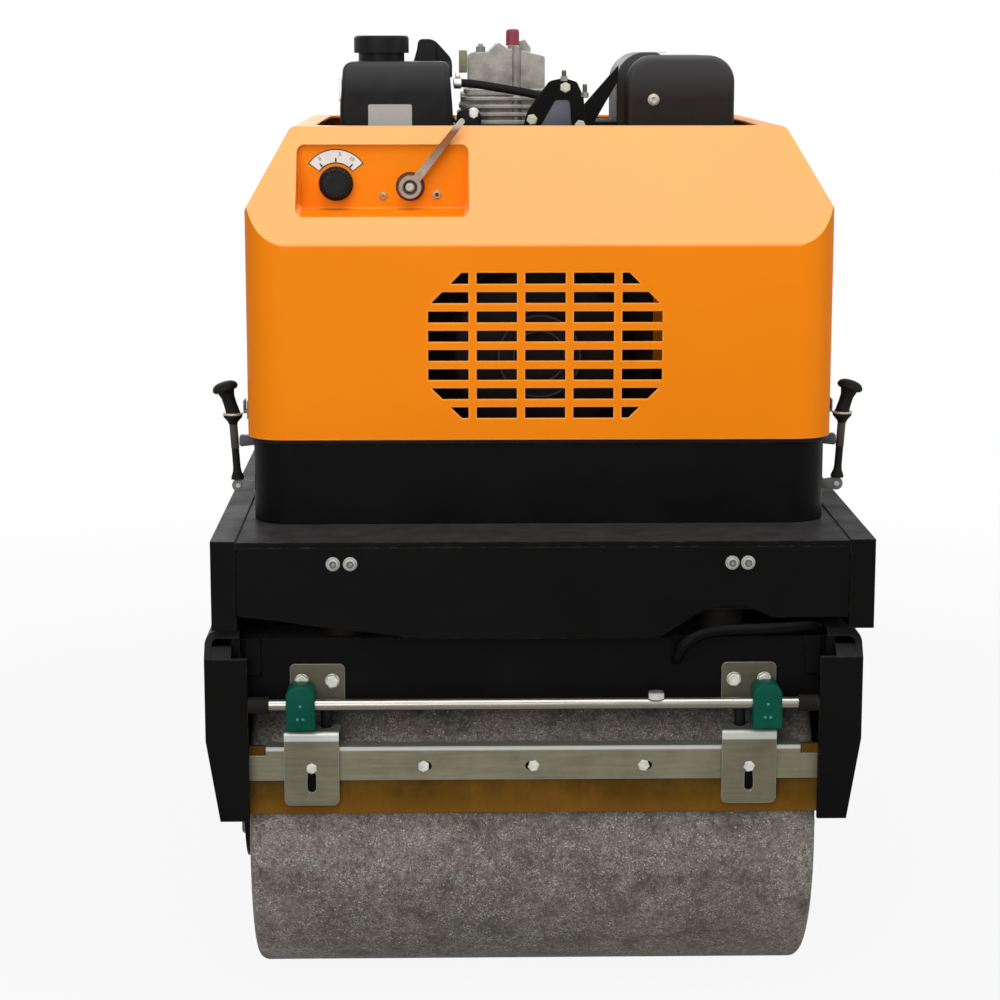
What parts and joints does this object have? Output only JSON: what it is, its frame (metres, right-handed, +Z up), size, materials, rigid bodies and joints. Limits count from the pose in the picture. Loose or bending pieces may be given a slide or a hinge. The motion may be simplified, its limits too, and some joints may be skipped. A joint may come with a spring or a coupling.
{
  "type": "vibratory roller",
  "caption": "Walk-behind double-drum vibratory roller with an orange tilting hood, open-topped engine bay, drum scrapers, sprinkler pipes and a folding steering handle.",
  "frame": {"origin": "centre of the bounding box, at ground level under the drums", "axes": "+Z up, -Y to the front of the machine (the end with the control panel on the hood), +Y to the steering handle, +X to the viewer's right when the viewer faces the front"},
  "size_m": [0.764, 1.8449, 1.1194],
  "materials": {
    "black_steel": "satin black paint",
    "hood_orange": "gloss orange paint",
    "zinc_steel": "dull zinc plate",
    "drum_steel": "worn pitted steel",
    "bright_pipe": "polished pipe",
    "amber_urethane": "satin amber polyurethane",
    "green_plastic": "moulded green plastic",
    "black_rubber": "matt black rubber",
    "black_plastic": "moulded black plastic",
    "cast_alu": "as-cast aluminium",
    "red_plastic": "moulded red plastic",
    "lever_steel": "plated steel"
  },
  "bodies": {
    "chassis": {"upper_frame": "black_steel", "front_plate": "black_steel", "rear_plate": "black_steel", "mount_shelf_front": "black_steel", "mount_shelf_rear": "black_steel", "head_cap": "red_plastic", "base_tub": "black_steel", "latch_left": "black_rubber", "latch_right": "black_rubber", "engine_block": "black_plastic", "recoil_starter": "black_plastic", "cylinder_head": "cast_alu", "air_cleaner": "black_plastic", "muffler": "black_steel", "engine_bracket": "black_steel", "breather_hose": "black_rubber", "side_frame_left": "black_steel", "side_frame_right": "black_steel", "axle_front": "black_steel", "axle_rear": "black_steel", "beam_front": "black_steel", "beam_rear": "black_steel", "rubber_mounts_front": "black_rubber", "rubber_mounts_rear": "black_rubber", "spray_pipe_front": "bright_pipe", "scraper_bar_front": "zinc_steel", "scraper_blade_front": "amber_urethane", "scraper_bracket_front_left": "zinc_steel", "pipe_clamp_front_left": "green_plastic", "scraper_bracket_front_right": "zinc_steel", "pipe_clamp_front_right": "green_plastic", "spray_pipe_rear": "bright_pipe", "scraper_bar_rear": "zinc_steel", "scraper_blade_rear": "amber_urethane", "scraper_bracket_rear_left": "zinc_steel", "pipe_clamp_rear_left": "green_plastic", "scraper_bracket_rear_right": "zinc_steel", "pipe_clamp_rear_right": "green_plastic"},
    "hood": {"hood_shell": "hood_orange", "speed_knob": "black_plastic", "throttle_lever": "lever_steel", "hood_hook_left": "zinc_steel", "hood_hook_right": "zinc_steel"},
    "front_roll": {"drum_front": "drum_steel"},
    "rear_roll": {"drum_rear": "drum_steel"},
    "handle": {"handle_frame": "black_steel", "handle_grip_left": "black_rubber", "handle_grip_right": "black_rubber", "control_console": "black_plastic", "travel_lever": "black_plastic"}
  },
  "joints": [
    {"name": "front_drum_spin", "type": "hinge", "parent": "chassis", "child": "front_roll", "pos_m": [-0.01, -0.68446, 0.2], "axis": [1, 0, 0], "continuous": true},
    {"name": "rear_drum_spin", "type": "hinge", "parent": "chassis", "child": "rear_roll", "pos_m": [-0.01, -0.16446, 0.2], "axis": [1, 0, 0], "continuous": true},
    {"name": "hood_tilt", "type": "hinge", "parent": "chassis", "child": "hood", "pos_m": [0, -0.13546, 0.65], "axis": [-1, 0, 0], "range_deg": [0, 40]},
    {"name": "handle_fold", "type": "hinge", "parent": "chassis", "child": "handle", "pos_m": [0, 0.09954, 0.52], "axis": [1, 0, 0], "range_deg": [0, 56]}
  ]
}
